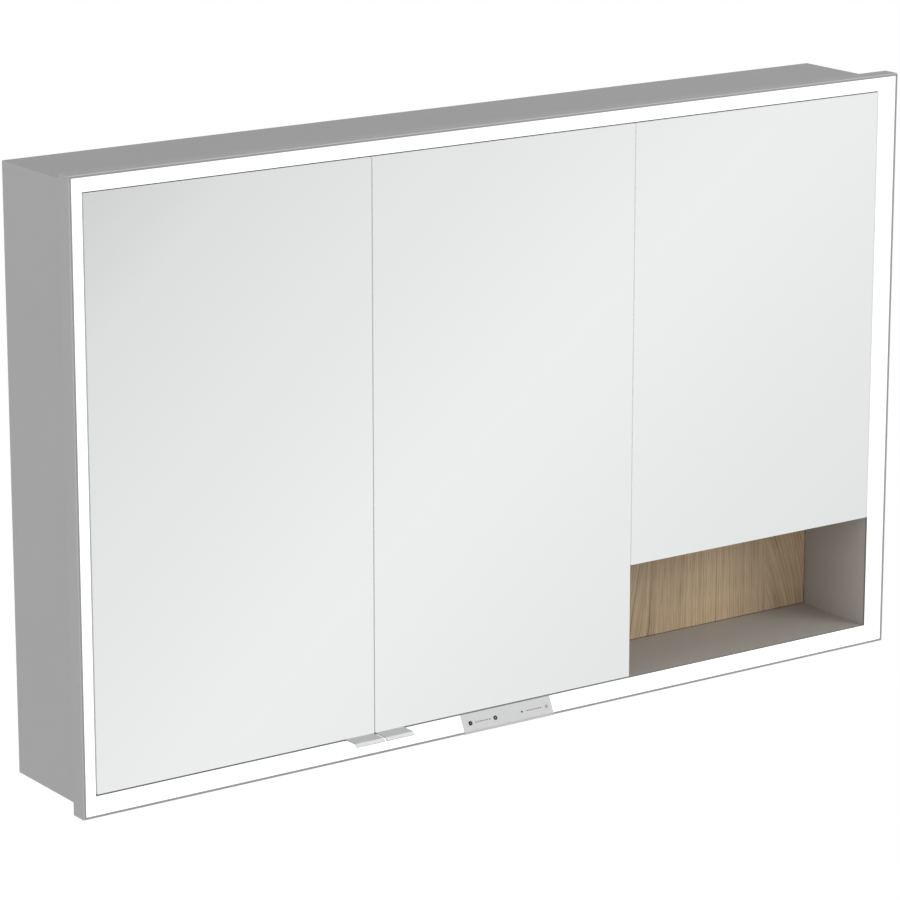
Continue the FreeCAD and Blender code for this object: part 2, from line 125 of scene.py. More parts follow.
def emboss(tree, shader, height, strength, depth):
    """Give the shader a relief from a height, with its depth in metres."""
    relief = add(tree, "ShaderNodeBump", {"Height": height, "Strength": strength, "Distance": depth})
    tree.links.new(relief.outputs["Normal"], shader.inputs["Normal"])


RELIEF_STRENGTH = 0.4


def apply_skin(tree, shader, effect, depth=0.0, **values):
    """Give the shader an effect's colour, roughness and relief, and return the effect's outputs."""
    skin = use_effect(tree, effect, **values)
    tree.links.new(skin["Colour"], shader.inputs["Base Color"])
    tree.links.new(skin["Roughness"], shader.inputs["Roughness"])
    if depth:
        emboss(tree, shader, skin["Height"], RELIEF_STRENGTH, depth)
    return skin


def dress(material, *names):
    for name in names:
        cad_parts[name].material_slots[0].material = material


SKIN_OUTPUTS = {"Colour": "NodeSocketColor", "Roughness": "NodeSocketFloat", "Height": "NodeSocketFloat"}
coated_skin, given, made = shared_effect("coated_skin", {
    "Colour": ("NodeSocketColor", (0.5, 0.5, 0.5, 1.0)),
    "Mottle": ("NodeSocketFloat", 0.02),
    "Grain": ("NodeSocketFloat", 900.0),
    "Roughness": ("NodeSocketFloat", 0.5),
    "Spread": ("NodeSocketFloat", 0.1),
}, SKIN_OUTPUTS)
spot = part_place(coated_skin)
clouds = noise(coated_skin, spot, Scale=7.0, Detail=3.0)
grain = noise(coated_skin, spot, Scale=given["Grain"], Detail=2.0)
both = math_node(coated_skin, "ADD", clouds, grain)
tone = varied(coated_skin, math_node(coated_skin, "MULTIPLY", both, 0.5), given["Mottle"])
gloss = math_node(coated_skin, "SUBTRACT", grain, 0.5)
gloss = math_node(coated_skin, "MULTIPLY_ADD", gloss, given["Spread"], given["Roughness"])
coated_skin.links.new(scaled(coated_skin, given["Colour"], tone), made["Colour"])
coated_skin.links.new(gloss, made["Roughness"])
coated_skin.links.new(grain, made["Height"])

LACQUER_GREY = (0.377, 0.377, 0.378, 1.0)
SPRAY_DEPTH = 0.00004
lacquer, tree, shader = new_finish("grey_lacquer", Specular_IOR_Level=0.3)
apply_skin(tree, shader, coated_skin, SPRAY_DEPTH, Colour=LACQUER_GREY, Mottle=0.05, Roughness=0.55)
dress(lacquer, "left_side_panel", "right_side_panel", "top_panel", "bottom_panel")

INSIDE_GREY = (0.56, 0.56, 0.56, 1.0)
inside_lacquer, tree, shader = new_finish("inside_lacquer")
apply_skin(tree, shader, coated_skin, SPRAY_DEPTH, Colour=INSIDE_GREY, Mottle=0.05, Roughness=0.5)
dress(inside_lacquer, "middle_divider", "right_partition", "back_panel")


# Brackets, washers and frame keys: small pressed pieces that hold the box and the frame together.
# Zinc plated steel with a cloudy crystal pattern; the washers lie round the wall holes, inside.
ZINC = (0.58, 0.59, 0.6, 1.0)
ZINC_DEPTH = 0.00003
zinc, tree, shader = new_finish("zinc_plate", Metallic=1.0)
apply_skin(tree, shader, coated_skin, ZINC_DEPTH, Colour=ZINC, Mottle=0.3, Grain=260.0, Roughness=0.38)
dress(zinc, "corner_brackets", "wall_washers", "frame_corner_keys")


# Driver and grommet: the supply for the lights, and the ring in the cable hole of the back.
# The driver is moulded white plastic, the grommet is matt black rubber pressed into the back.
MOULDED_WHITE = (0.78, 0.78, 0.77, 1.0)
MOULD_DEPTH = 0.0001
driver_plastic, tree, shader = new_finish("driver_plastic")
apply_skin(tree, shader, coated_skin, MOULD_DEPTH, Colour=MOULDED_WHITE, Mottle=0.04, Grain=1400.0)
dress(driver_plastic, "led_driver")

RUBBER_BLACK = (0.03, 0.03, 0.03, 1.0)
grommet_rubber, tree, shader = new_finish("grommet_rubber")
apply_skin(tree, shader, coated_skin, MOULD_DEPTH, Colour=RUBBER_BLACK, Mottle=0.2, Roughness=0.75)
dress(grommet_rubber, "cable_grommet")


# Niche liners: thin boards that line the open niche on three sides, and its ceiling under the short door.
# Matt taupe laminate with a very fine grain, glued to the carcass.
TAUPE = (0.465, 0.442, 0.411, 1.0)
LAMINATE_DEPTH = 0.00005
laminate, tree, shader = new_finish("taupe_laminate")
apply_skin(tree, shader, coated_skin, LAMINATE_DEPTH, Colour=TAUPE, Mottle=0.06, Roughness=0.6)
dress(laminate, "niche_floor_liner", "niche_right_liner", "niche_left_liner", "niche_ceiling")


# Niche back: one upright board of oak veneer, oiled. The veneer is cut near the heart, so its lines stand
# upright in the middle, lean towards each other at both sides and close into a pointed figure on the right.
def ramp(tree, factor, stops):
    """A colour ramp with stops of (position, colour)."""
    node = add(tree, "ShaderNodeValToRGB", {"Fac": factor})
    points = node.color_ramp.elements
    for position, colour in stops[2:]:
        points.new(position)
    for point, (position, colour) in zip(points, sorted(stops)):
        point.position = position
        point.color = colour
    return node.outputs["Color"]


def grey(value):
    return (value, value, value, 1.0)


def multiplied(tree, colour, tint):
    """A colour times a tint."""
    node = add(tree, "ShaderNodeVectorMath", {0: colour, 1: tint}, operation="MULTIPLY")
    return node.outputs["Vector"]


def axes(tree, place):
    return add(tree, "ShaderNodeSeparateXYZ", {0: place}).outputs


def streaks(tree, across, along, fine, long, detail):
    """Noise drawn out along the grain: fine lines across it, long ones along it."""
    vector = add(tree, "ShaderNodeCombineXYZ", {
        "X": math_node(tree, "MULTIPLY", across, fine),
        "Y": math_node(tree, "MULTIPLY", along, long),
    })
    return noise(tree, vector.outputs[0], Scale=1.0, Detail=detail)


PLAIN_WHITE = (1.0, 1.0, 1.0, 1.0)
MOST_LEAN = 0.6
LEANS = (
    (0.0, 0.0), (0.10, 0.03), (0.16, 0.18), (0.25, 0.18), (0.32, 0.02),
    (0.818, -0.02), (0.823, -0.36), (0.93, -0.3), (1.0, -0.14),
)
WANDER = 0.006
BANDS = {"fine": 90.0, "long": 1.0, "detail": 2.0}
LINES = {"fine": 480.0, "long": 2.5, "detail": 3.0}
PORES = {"fine": 1700.0, "long": 26.0, "detail": 2.0}
BAND_SHARE = 0.35
LINE_SHARE = 0.65
WOOD_TONES = (
    (0.32, (0.345, 0.236, 0.137, 1.0)),
    (0.43, (0.610, 0.454, 0.288, 1.0)),
    (0.54, (0.776, 0.598, 0.391, 1.0)),
    (0.68, (0.874, 0.696, 0.473, 1.0)),
)
PORE_TONES = ((0.30, (0.62, 0.58, 0.54, 1.0)), (0.46, PLAIN_WHITE))
BOARD_TONE_AND_SHADE = ((0.0, 0.83), (0.4, 0.86), (0.6, 1.0), (0.75, 0.8), (0.86, 0.86), (0.95, 1.0))
CORNER_SHADE_WIDTH = 0.0013
CORNER_SHADE_TONE = 0.35
OAK_ROUGHNESS = 0.58
LINE_GLOSS = 0.15
PORE_STRENGTH = 0.35
PORE_DEPTH = 0.0002
oak_low, oak_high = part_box("niche_back_panel")
mid_height = (oak_low.z + oak_high.z) / 2
oak, tree, shader = new_finish("oiled_oak")
spot = part_place(tree)
parts = axes(tree, spot)
share = add(tree, "ShaderNodeMapRange", {
    "Value": parts["X"],
    "From Min": oak_low.x,
    "From Max": oak_high.x,
}).outputs["Result"]
rise = math_node(tree, "SUBTRACT", parts["Z"], mid_height)
lean_stops = [(position, grey(0.5 + 0.5 * lean / MOST_LEAN)) for position, lean in LEANS]
lean = math_node(tree, "SUBTRACT", ramp(tree, share, lean_stops), 0.5)
lean = math_node(tree, "MULTIPLY", lean, -2 * MOST_LEAN)
wander = noise(tree, spot, Scale=11.0, Detail=1.0)
across = math_node(tree, "MULTIPLY_ADD", lean, rise, parts["X"])
across = math_node(tree, "MULTIPLY_ADD", wander, WANDER, across)
bands = streaks(tree, across, rise, **BANDS)
lines = streaks(tree, across, rise, **LINES)
pores = streaks(tree, across, rise, **PORES)
veneer = math_node(tree, "MULTIPLY", lines, LINE_SHARE)
veneer = math_node(tree, "MULTIPLY_ADD", bands, BAND_SHARE, veneer)
wood = multiplied(tree, ramp(tree, veneer, WOOD_TONES), ramp(tree, pores, PORE_TONES))
# The board is painted darker and lighter across its width at the listed places, partly as the veneer's own
# tone and partly as painted light and shade across the niche.
tone_and_shade_stops = [(position, grey(tone)) for position, tone in BOARD_TONE_AND_SHADE]
wood = multiplied(tree, wood, ramp(tree, share, tone_and_shade_stops))
# Painted shade: a thin strip of the oak along the niche floor and the right wall is darkened, where shade
# falls in the corner.
below = math_node(tree, "LESS_THAN", parts["Z"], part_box("niche_floor_liner")[1].z + CORNER_SHADE_WIDTH)
beside = math_node(tree, "GREATER_THAN", parts["X"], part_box("niche_right_liner")[0].x - CORNER_SHADE_WIDTH)
in_corner_shade = math_node(tree, "MAXIMUM", below, beside)
corner_shade_tone = math_node(tree, "MULTIPLY_ADD", in_corner_shade, CORNER_SHADE_TONE - 1.0, 1.0)
tree.links.new(scaled(tree, wood, corner_shade_tone), shader.inputs["Base Color"])
oak_gloss = math_node(tree, "MULTIPLY_ADD", lines, -LINE_GLOSS, OAK_ROUGHNESS)
tree.links.new(oak_gloss, shader.inputs["Roughness"])
emboss(tree, shader, pores, PORE_STRENGTH, PORE_DEPTH)
dress(oak, "niche_back_panel")


# Front frame: four mitred profiles with a thin lip, a steep outer bevel and a flange over the wall's edge.
# Drawn aluminium, brushed along its length and satin anodised, joined at the corners by steel keys.
SCRATCH_SPREAD = 0.12
brushed_skin, given, made = shared_effect("brushed_skin", {
    "Colour": ("NodeSocketColor", (0.5, 0.5, 0.5, 1.0)),
    "Lines": ("NodeSocketVector", (1.0, 1.0, 1.0)),
    "Streaks": ("NodeSocketFloat", 0.06),
    "Roughness": ("NodeSocketFloat", 0.35),
}, SKIN_OUTPUTS)
drawn = multiplied(brushed_skin, part_place(brushed_skin), given["Lines"])
scratch = noise(brushed_skin, drawn, Scale=1.0, Detail=4.0)
tone = varied(brushed_skin, scratch, given["Streaks"])
gloss = math_node(brushed_skin, "MULTIPLY_ADD", scratch, SCRATCH_SPREAD, given["Roughness"])
brushed_skin.links.new(scaled(brushed_skin, given["Colour"], tone), made["Colour"])
brushed_skin.links.new(gloss, made["Roughness"])
brushed_skin.links.new(scratch, made["Height"])


def reach_along(tree, vector, direction):
    """How far a vector goes along a direction."""
    node = add(tree, "ShaderNodeVectorMath", {0: vector, 1: direction}, operation="DOT_PRODUCT")
    return node.outputs["Value"]


def facing_colour(tree, direction, stops):
    """A colour by how far the surface turns to a direction, from 0, square to it, to 1, straight at it."""
    facing = add(tree, "ShaderNodeTexCoord").outputs["Normal"]
    return ramp(tree, reach_along(tree, facing, direction), stops)


def tinted_by(tree, shader, skin, tint):
    """Multiply an effect's colour by a tint, and give it to the shader."""
    tree.links.new(multiplied(tree, skin["Colour"], tint), shader.inputs["Base Color"])


TO_FRONT = (0.0, -1.0, 0.0)
# Painted light: by how far a face turns to the front, the bevel is painted lighter as a highlight and the
# lip front darker as shade; the top and bottom profiles get a lighter painted bevel than the side profiles.
LIP_FRONT_SHADE = (0.362, 0.363, 0.365, 1.0)
BEVEL_TURN = 0.447
LIP_TURN = 0.75
FLAT_PAINTED_LIGHT = (0.36, 0.36, 0.361, 1.0), (0.6, 0.602, 0.605, 1.0)
UPRIGHT_PAINTED_LIGHT = (0.376, 0.376, 0.377, 1.0), (0.45, 0.452, 0.455, 1.0)
FLAT_LINES = (6.0, 900.0, 900.0)
UPRIGHT_LINES = (900.0, 900.0, 6.0)
BRUSH_DEPTH = 0.00002
for run, lines_along, (side_tone, bevel_highlight), names in (
    ("flat", FLAT_LINES, FLAT_PAINTED_LIGHT, ("frame_bottom_profile", "frame_top_profile")),
    ("upright", UPRIGHT_LINES, UPRIGHT_PAINTED_LIGHT, ("frame_left_profile", "frame_right_profile")),
):
    profile_metal, tree, shader = new_finish(f"anodised_profile_{run}", Metallic=0.15)
    skin = apply_skin(tree, shader, brushed_skin, BRUSH_DEPTH,
                      Colour=PLAIN_WHITE, Lines=lines_along, Roughness=0.42)
    frame_painted_light = [(0.0, side_tone), (BEVEL_TURN, bevel_highlight), (LIP_TURN, LIP_FRONT_SHADE), (1.0, LIP_FRONT_SHADE)]
    tinted_by(tree, shader, skin, facing_colour(tree, TO_FRONT, frame_painted_light))
    dress(profile_metal, *names)


# Light: LED strips on the flange, and the opal light guide that slopes from the lip to the mirror.
# The guide is cast acrylic in five bevelled lengths, and its whole front glows evenly. Beside the niche
# its inner side gives no light and is painted dark taupe as shade.
STRIP_WHITE = (0.8, 0.8, 0.76, 1.0)
strip_board, tree, shader = new_finish("strip_board")
apply_skin(tree, shader, coated_skin, Colour=STRIP_WHITE, Mottle=0.05, Grain=500.0)
dress(strip_board, "led_strips")

OPAL_WHITE = (0.55, 0.55, 0.55, 1.0)
NICHE_SIDE_SHADE = (0.25, 0.237, 0.22, 1.0)
CLOUD_GLOWS = ((0.3, (0.97, 0.98, 1.0, 1.0)), (0.7, PLAIN_WHITE))
SIDE_GLOW = grey(0.5)
UNLIT = grey(0.0)
SIDE_TURN = 0.2
FRONT_TURN = 0.6
opal, tree, shader = new_finish("opal_acrylic", Emission_Strength=0.78)
skin = apply_skin(tree, shader, coated_skin, Colour=PLAIN_WHITE, Mottle=0.02, Roughness=0.35)
spot = part_place(tree)
parts = axes(tree, spot)
under = math_node(tree, "LESS_THAN", parts["Z"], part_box("right_door_mirror")[0].z)
beside = math_node(tree, "GREATER_THAN", parts["X"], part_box("centre_door_mirror")[1].x)
at_niche = math_node(tree, "MULTIPLY", under, beside)
# Painted shade: beside the niche the guide's inner side is tinted dark taupe, and it gives no glow there.
inner_side = facing_colour(tree, TO_FRONT, [(SIDE_TURN, PLAIN_WHITE), (FRONT_TURN, UNLIT)])
shaded_at_niche = math_node(tree, "MULTIPLY", at_niche, inner_side)
tinted_by(tree, shader, skin, ramp(tree, shaded_at_niche, [(0.0, OPAL_WHITE), (1.0, NICHE_SIDE_SHADE)]))
glow = ramp(tree, noise(tree, spot, Scale=30.0), CLOUD_GLOWS)
in_front = facing_colour(tree, TO_FRONT, [(SIDE_TURN, SIDE_GLOW), (FRONT_TURN, PLAIN_WHITE)])
glow = multiplied(tree, glow, in_front)
glow = scaled(tree, glow, math_node(tree, "SUBTRACT", 1.0, shaded_at_niche))
tree.links.new(glow, shader.inputs["Emission Color"])
for length in ("top", "left", "right", "bottom_left", "bottom_right"):
    dress(opal, f"light_guide_{length}")


# Control panel: a sloping fascia in the lower bevel, with a circuit board and a housing behind it.
# Satin grey moulded plastic; the touch keys and their dots are printed on it in black and grey.
UPWARDS = (0.0, 0.0, 1.0)
FASCIA_GREY = (0.73, 0.732, 0.735, 1.0)
TOE_PAINTED_SHADE = (0.63, 0.632, 0.635, 1.0)
TOE_TURN = 0.1
SLOPE_TURN = 0.3
FASCIA_DEPTH = 0.00002
fascia_plastic, tree, shader = new_finish("fascia_plastic")
skin = apply_skin(tree, shader, coated_skin, FASCIA_DEPTH,
                  Colour=PLAIN_WHITE, Mottle=0.04, Grain=2200.0, Roughness=0.42)
# Painted shade: the fascia's upright toe is painted a darker grey than its sloping face.
fascia_painted_shade = facing_colour(tree, UPWARDS, [(TOE_TURN, TOE_PAINTED_SHADE), (SLOPE_TURN, FASCIA_GREY)])
tinted_by(tree, shader, skin, fascia_painted_shade)
dress(fascia_plastic, "control_fascia")

HOUSING_GREY = (0.27, 0.27, 0.27, 1.0)
housing_plastic, tree, shader = new_finish("housing_plastic")
apply_skin(tree, shader, coated_skin, MOULD_DEPTH, Colour=HOUSING_GREY, Mottle=0.05, Grain=1400.0)
dress(housing_plastic, "control_housing")

SOLDER_GREEN = (0.02, 0.11, 0.05, 1.0)
solder_mask, tree, shader = new_finish("solder_mask")
apply_skin(tree, shader, coated_skin, Colour=SOLDER_GREEN, Mottle=0.25, Grain=420.0, Roughness=0.3)
dress(solder_mask, "control_circuit_board")

KEY_BLACK = (0.012, 0.012, 0.013, 1.0)
INK_GRAIN = 3000.0
key_ink, tree, shader = new_finish("key_ink", Specular_IOR_Level=0.25)
apply_skin(tree, shader, coated_skin, Colour=KEY_BLACK, Mottle=0.2, Grain=INK_GRAIN, Roughness=0.3)

SENSOR_GREY = (0.42, 0.42, 0.42, 1.0)
SENSOR_START = 0.04
touch_ink, tree, shader = new_finish("touch_ink", Specular_IOR_Level=0.25)
skin = apply_skin(tree, shader, coated_skin, Colour=PLAIN_WHITE, Mottle=0.1, Grain=INK_GRAIN, Roughness=0.3)
parts = axes(tree, part_place(tree))
at_sensor = math_node(tree, "GREATER_THAN", parts["X"], SENSOR_START)
tinted_by(tree, shader, skin, ramp(tree, at_sensor, [(0.0, KEY_BLACK), (1.0, SENSOR_GREY)]))
dress(touch_ink, "touch_keys")

SAME_PLACE = 1e-7


def loose_boxes(name):
    """The lowest and highest corners of each separate solid in a CAD node."""
    copy = bmesh.new()
    copy.from_mesh(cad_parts[name].data)
    bmesh.ops.remove_doubles(copy, verts=copy.verts, dist=SAME_PLACE)
    waiting = set(copy.verts)
    boxes = []
    while waiting:
        reached = [waiting.pop()]
        found = []
        while reached:
            point = reached.pop()
            found.append(point.co.copy())
            near = {line.other_vert(point) for line in point.link_edges} & waiting
            waiting -= near
            reached.extend(near)
        low = Vector(map(min, zip(*found)))
        high = Vector(map(max, zip(*found)))
        boxes.append((low, high))
    copy.free()
    return sorted(boxes, key=lambda pair: tuple(pair[0]))


def new_piece(name, shape, material, body):
    """Make a mesh object from a bmesh, with its material, body and slot."""
    mesh = bpy.data.meshes.new(name)
    bmesh.ops.recalc_face_normals(shape, faces=shape.faces)
    shape.to_mesh(mesh)
    shape.free()
    mesh.materials.append(material)
    piece = bpy.data.objects.new(name, mesh)
    bpy.context.scene.collection.objects.link(piece)
    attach(piece, body)
    return piece


def ring_wall(shape, loops):
    """Close a stack of point loops into one solid: walls between them, and a face at each end."""
    rows = [[shape.verts.new(point) for point in loop] for loop in loops]
    for lower, upper in zip(rows, rows[1:]):
        for index in range(len(lower)):
            following = (index + 1) % len(lower)
            shape.faces.new((lower[index], lower[following], upper[following], upper[index]))
    shape.faces.new(rows[0][::-1])
    shape.faces.new(rows[-1])


fascia_low, fascia_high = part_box("control_fascia")
mirror_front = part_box("left_door_mirror")[0].y
fascia_across = Vector((1.0, 0.0, 0.0))
fascia_up = Vector((0.0, mirror_front - fascia_low.y, fascia_high.z - fascia_low.z)).normalized()
fascia_out = fascia_across.cross(fascia_up)
fascia_edge = Vector((0.0, fascia_low.y, fascia_low.z))


def on_fascia(across, up, out):
    """A point by its place across the fascia, up its slope from the lower edge, and out of its face."""
    return fascia_edge + fascia_across * across + fascia_up * up + fascia_out * out


DISC_STEPS = 20
DISC_RINGS = ((1.0, 0.0), (1.0, 0.6), (0.9, 1.0))


def printed_disc(shape, across, up, radius, thick):
    """A thin disc that lies on the fascia, with a slightly smaller top."""
    loops = []
    for radius_share, height_share in DISC_RINGS:
        reach = radius * radius_share
        loop = []
        for step in range(DISC_STEPS):
            angle = 2 * math.pi * step / DISC_STEPS
            sideways = across + reach * math.cos(angle)
            upwards = up + reach * math.sin(angle)
            loop.append(on_fascia(sideways, upwards, thick * height_share))
        loops.append(loop)
    ring_wall(shape, loops)


INK_THICK = 0.00006
DOT_RADIUS = 0.0008
DOTS_IN_ROW = 7
DOT_ROWS = ((-0.0473, -0.0263), (0.0301, 0.0506))
key_middles = [(low + high) / 2 for low, high in loose_boxes("touch_keys")]
key_height = (key_middles[0] - fascia_edge).dot(fascia_up)
dots = bmesh.new()
for first, last in DOT_ROWS:
    for count in range(DOTS_IN_ROW):
        across_panel = first + (last - first) * count / (DOTS_IN_ROW - 1)
        printed_disc(dots, across_panel, key_height, DOT_RADIUS, INK_THICK)
new_piece("control_dots", dots, key_ink, "cabinet")

SYMBOL_WHITE = (0.6, 0.6, 0.6, 1.0)
SYMBOL_REACH = 0.0010
SYMBOL_HALF = 0.0003
KEY_THICK = 0.0004
QUARTER_TURNS = ((1, 0), (0, 1), (-1, 0), (0, -1))
symbol_ink, tree, shader = new_finish("symbol_ink")
apply_skin(tree, shader, coated_skin, Colour=SYMBOL_WHITE, Mottle=0.05, Grain=INK_GRAIN, Roughness=0.4)


def cross_outline(reach, half):
    """Corner points of a cross with four equal arms, as pairs (across, up)."""
    points = []
    for cos, sin in QUARTER_TURNS:
        for out, side in ((reach, -half), (reach, half), (half, half)):
            points.append((out * cos - side * sin, out * sin + side * cos))
    return points


minus_outline = [
    (-SYMBOL_REACH, -SYMBOL_HALF),
    (SYMBOL_REACH, -SYMBOL_HALF),
    (SYMBOL_REACH, SYMBOL_HALF),
    (-SYMBOL_REACH, SYMBOL_HALF),
]
plus_outline = cross_outline(SYMBOL_REACH, SYMBOL_HALF)
symbols = bmesh.new()
for middle, outline in zip(key_middles, (minus_outline, plus_outline)):
    key_up = (middle - fascia_edge).dot(fascia_up)
    loops = []
    for lift in (0.0, INK_THICK):
        level = KEY_THICK + lift
        loops.append([on_fascia(middle.x + across, key_up + up, level) for across, up in outline])
    ring_wall(symbols, loops)
new_piece("key_symbols", symbols, symbol_ink, "cabinet")


# Shelf pegs and glass shelves: five loose shelves that stand on turned pegs in the boards.
# Pegs are bright plated brass; shelves are 6 mm float glass with ground edges that look green.
PEG_BRIGHT = (0.72, 0.72, 0.72, 1.0)
peg_plating, tree, shader = new_finish("peg_plating", Metallic=1.0)
apply_skin(tree, shader, coated_skin, Colour=PEG_BRIGHT, Mottle=0.05, Grain=800.0, Roughness=0.14)
dress(peg_plating, "shelf_pegs")

EDGE_TURN = 0.5
pane_edge, given, made = shared_effect("pane_edge", {
    "Face": ("NodeSocketVector", (0.0, 1.0, 0.0)),
}, {"Edge": "NodeSocketFloat"})
facing = add(pane_edge, "ShaderNodeTexCoord").outputs["Normal"]
flat = math_node(pane_edge, "ABSOLUTE", reach_along(pane_edge, facing, given["Face"]))
pane_edge.links.new(math_node(pane_edge, "LESS_THAN", flat, EDGE_TURN), made["Edge"])

GLASS_CLEAR = (0.95, 0.985, 0.975, 1.0)
GLASS_EDGE = (0.42, 0.72, 0.62, 1.0)
FACE_ROUGHNESS = 0.02
GROUND_ROUGHNESS = 0.25
SHELVES = ("left_lower", "left_upper", "centre_lower", "centre_upper", "right")
shelf_glass, tree, shader = new_finish("shelf_glass", Transmission_Weight=1.0, IOR=1.5)
edge = use_effect(tree, pane_edge, Face=UPWARDS)["Edge"]
glass_tint = ramp(tree, edge, [(0.0, GLASS_CLEAR), (1.0, GLASS_EDGE)])
glass_gloss = math_node(tree, "MULTIPLY_ADD", edge, GROUND_ROUGHNESS, FACE_ROUGHNESS)
tree.links.new(glass_tint, shader.inputs["Base Color"])
tree.links.new(glass_gloss, shader.inputs["Roughness"])
for shelf in SHELVES:
    dress(shelf_glass, f"{shelf}_shelf")


# Hinge arms, pins, cups and screws: the cranked arm on the board holds a pin in the door's cup.
# Pressed and nickel plated steel; the arms are held by two cross-head screws each.
NICKEL = (0.6, 0.59, 0.57, 1.0)
NICKEL_DEPTH = 0.00002
nickel, tree, shader = new_finish("nickel_plate", Metallic=1.0)
apply_skin(tree, shader, coated_skin, NICKEL_DEPTH, Colour=NICKEL, Mottle=0.08, Grain=600.0, Roughness=0.26)
for door in ("left", "centre", "right"):
    dress(nickel, f"{door}_hinge_arms", f"{door}_door_hinge_cups", f"{door}_door_hinge_pins")
dress(nickel, "hinge_screws")

RECESS_DARK = (0.05, 0.05, 0.05, 1.0)
RECESS_REACH = 0.0019
RECESS_HALF = 0.0004
RECESS_PROUD = 0.00004
recess_dark, tree, shader = new_finish("recess_shadow", Metallic=1.0)
apply_skin(tree, shader, coated_skin, Colour=RECESS_DARK, Mottle=0.2, Grain=2500.0, Roughness=0.6)
recesses = bmesh.new()
recess_outline = cross_outline(RECESS_REACH, RECESS_HALF)
first_board_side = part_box("left_hinge_arms")[1].x
for low, high in loose_boxes("hinge_screws"):
    middle = (low + high) / 2
    points_right = middle.x < first_board_side
    face = high.x + RECESS_PROUD if points_right else low.x - RECESS_PROUD
    into = -1.0 if points_right else 1.0
    loops = []
    for sunk in (0.0, 2 * RECESS_PROUD):
        level = face + into * sunk
        loops.append([(level, middle.y + across, middle.z + up) for across, up in recess_outline])
    ring_wall(recesses, loops)
new_piece("screw_recesses", recesses, recess_dark, "cabinet")


# Bumpers and door seal: soft stops on the divider and the partition, and a flat strip under the tall doors.
# The bumpers are clear soft plastic with glue behind; the seal is dark grey rubber, and its grey stands in
# for the shade in the gap under the tall doors.
BUMPER_CLEAR = (0.62, 0.63, 0.63, 1.0)
bumper_soft, tree, shader = new_finish("bumper_soft", Subsurface_Weight=0.3)
apply_skin(tree, shader, coated_skin, Colour=BUMPER_CLEAR, Mottle=0.05, Grain=900.0, Roughness=0.3)
dress(bumper_soft, "door_bumpers")

SEAL_SHADE_GREY = (0.39, 0.39, 0.395, 1.0)
seal_rubber, tree, shader = new_finish("seal_rubber")
apply_skin(tree, shader, coated_skin, Colour=SEAL_SHADE_GREY, Mottle=0.15, Roughness=0.7)
dress(seal_rubber, "door_seal")


# Doors: a front mirror, a board core with a grey metallic edge, and a rear mirror, glued together.
# The mirrors are silvered float glass with polished edges, and light is painted on these edges as a glow,
# set for each door and stronger on the top edge.
CORE_EDGE = (0.5, 0.505, 0.51, 1.0)
core_edge, tree, shader = new_finish("door_edge", Metallic=0.4)
apply_skin(tree, shader, coated_skin, Colour=CORE_EDGE, Mottle=0.05, Grain=700.0, Roughness=0.4)

SILVERED = (0.93, 0.95, 0.945, 1.0)
PANE_EDGE = (0.72, 0.76, 0.75, 1.0)
TOP_EDGE_PAINTED_LIGHT = (0.28, 0.28, 0.278, 1.0)
PAINTED_EDGE_LIGHTS = {
    "left": (0.075, 0.076, 0.0755, 1.0),
    "centre": (0.15, 0.153, 0.152, 1.0),
    "right": (0.22, 0.224, 0.223, 1.0),
}
SIDE_EDGE_TURN = 0.2
TOP_EDGE_TURN = 0.8
MIRROR_ROUGHNESS = 0.015
HAZE_SPREAD = 0.02
POLISHED_EDGE = 0.3
for door, side_painted_light in PAINTED_EDGE_LIGHTS.items():
    mirror, tree, shader = new_finish(f"{door}_silvered_glass", Emission_Strength=1.0)
    edge = use_effect(tree, pane_edge, Face=TO_FRONT)["Edge"]
    tree.links.new(ramp(tree, edge, [(0.0, SILVERED), (1.0, PANE_EDGE)]), shader.inputs["Base Color"])
    tree.links.new(math_node(tree, "SUBTRACT", 1.0, edge), shader.inputs["Metallic"])
    # Painted light: the glass edges glow, more on the top edge than on the side edges.
    edge_stops = [(SIDE_EDGE_TURN, side_painted_light), (TOP_EDGE_TURN, TOP_EDGE_PAINTED_LIGHT)]
    painted_edge_light = scaled(tree, facing_colour(tree, UPWARDS, edge_stops), edge)
    tree.links.new(painted_edge_light, shader.inputs["Emission Color"])
    smear = noise(tree, part_place(tree), Scale=5.0, Detail=5.0, Distortion=1.5)
    haze = math_node(tree, "MULTIPLY_ADD", smear, HAZE_SPREAD, MIRROR_ROUGHNESS)
    mirror_gloss = math_node(tree, "MULTIPLY_ADD", edge, POLISHED_EDGE, haze)
    tree.links.new(mirror_gloss, shader.inputs["Roughness"])
    dress(core_edge, f"{door}_door_core")
    dress(mirror, f"{door}_door_mirror", f"{door}_door_rear_mirror")


# Handles: folded tabs under the left and the centre door, with a lip that slopes down.
# Satin anodised aluminium sheet, brushed across, glued and screwed to the door's lower edge.
HANDLE_SATIN = (0.6, 0.605, 0.61, 1.0)
LIP_PAINTED_HIGHLIGHT = (0.9, 0.9, 0.9, 1.0)
CUT_PAINTED_SHADE = (0.5, 0.5, 0.5, 1.0)
LIP_FACING = (0.0, -0.7071, 0.7071)
LIP_EDGE_FACING = (0.0, -0.7071, -0.7071)
TO_LEFT = (-1.0, 0.0, 0.0)
LIP_STARTS = 0.8
LIP_FULL = 0.95
END_STARTS = 0.5
END_FULL = 0.9
handle_metal, tree, shader = new_finish("handle_metal", Metallic=0.5)
skin = apply_skin(tree, shader, brushed_skin, BRUSH_DEPTH,
                  Colour=PLAIN_WHITE, Lines=FLAT_LINES, Roughness=0.35)
